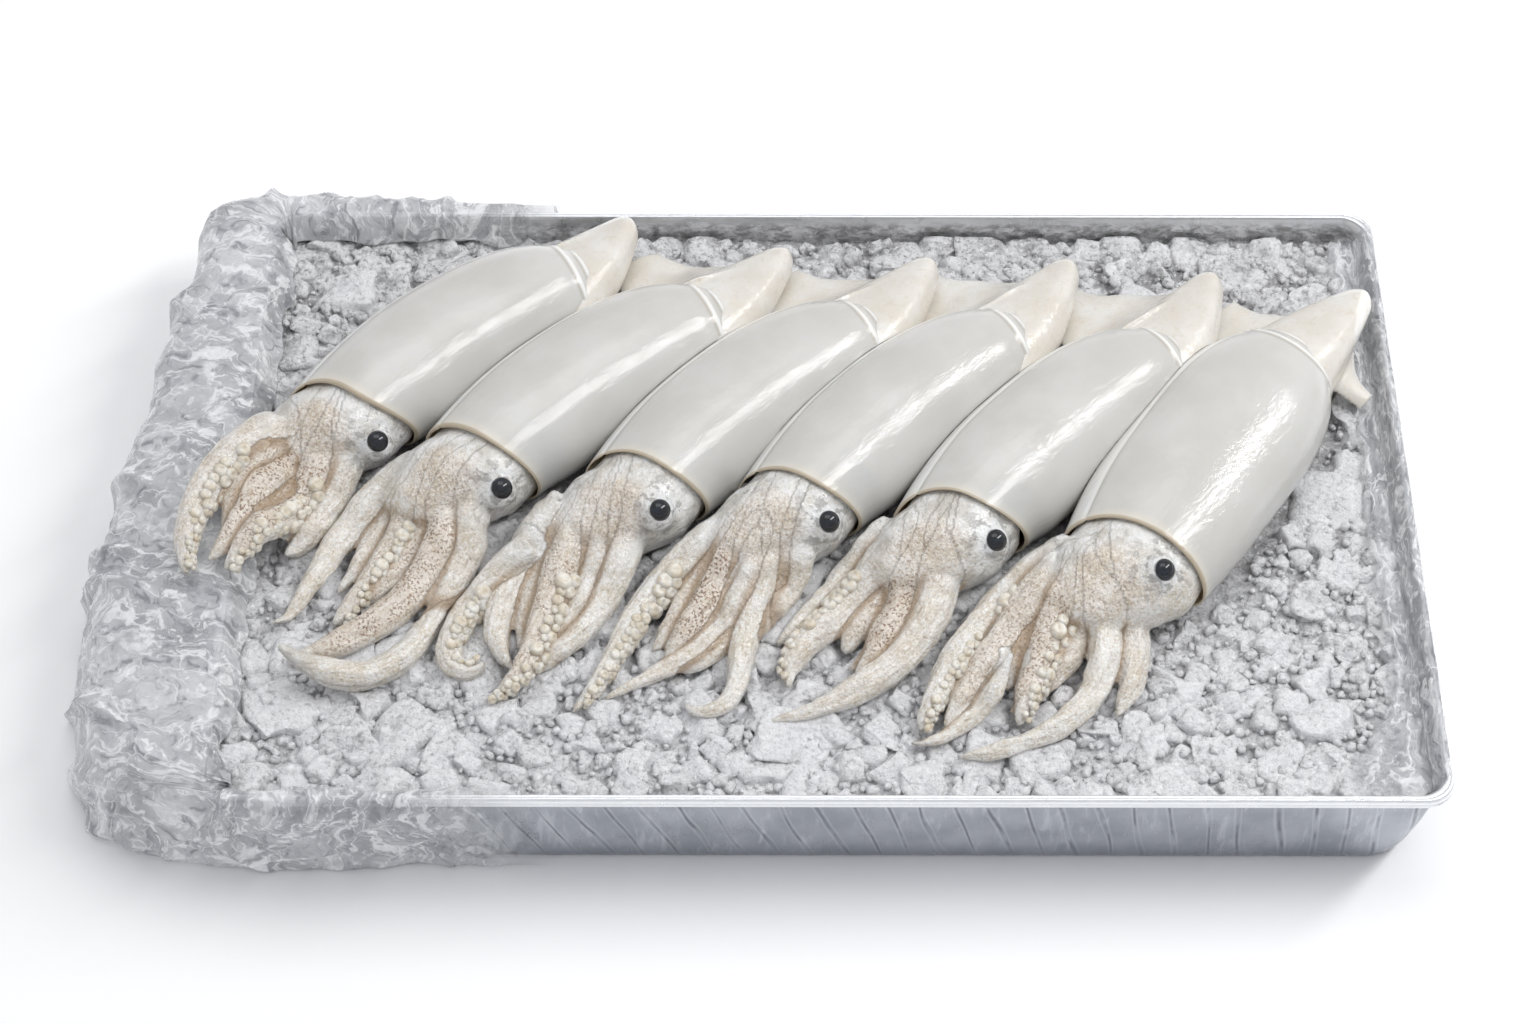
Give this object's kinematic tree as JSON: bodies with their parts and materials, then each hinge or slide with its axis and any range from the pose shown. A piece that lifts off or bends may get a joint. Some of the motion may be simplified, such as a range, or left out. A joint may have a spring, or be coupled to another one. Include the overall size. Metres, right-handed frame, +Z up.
{
  "type": "whole raw squid on crushed ice in a foil tray",
  "caption": "Whole raw squid laid side by side on crushed ice in a shallow silver foil tray, with loose clear film over its left end.",
  "frame": {"origin": "centre of the foil tray's flat base, on the surface it stands on", "axes": "+X along the tray, from the film's end to the bare end; +Y from the squid's arms to their tails; +Z up, out of the tray"},
  "size_m": [0.5655, 0.3378, 0.0885],
  "materials": {
    "foil": "bright, thin, lightly creased foil",
    "ice": "frosty crushed ice, translucent white and grey",
    "squid": "wet, glossy, milky skin",
    "film": "thin clear crinkled film"
  },
  "bodies": {
    "root": {"tray": "foil", "ice": "ice", "film": "film", "squid_1": "squid", "squid_2": "squid", "squid_3": "squid", "squid_4": "squid", "squid_5": "squid", "squid_6": "squid"}
  },
  "joints": []
}
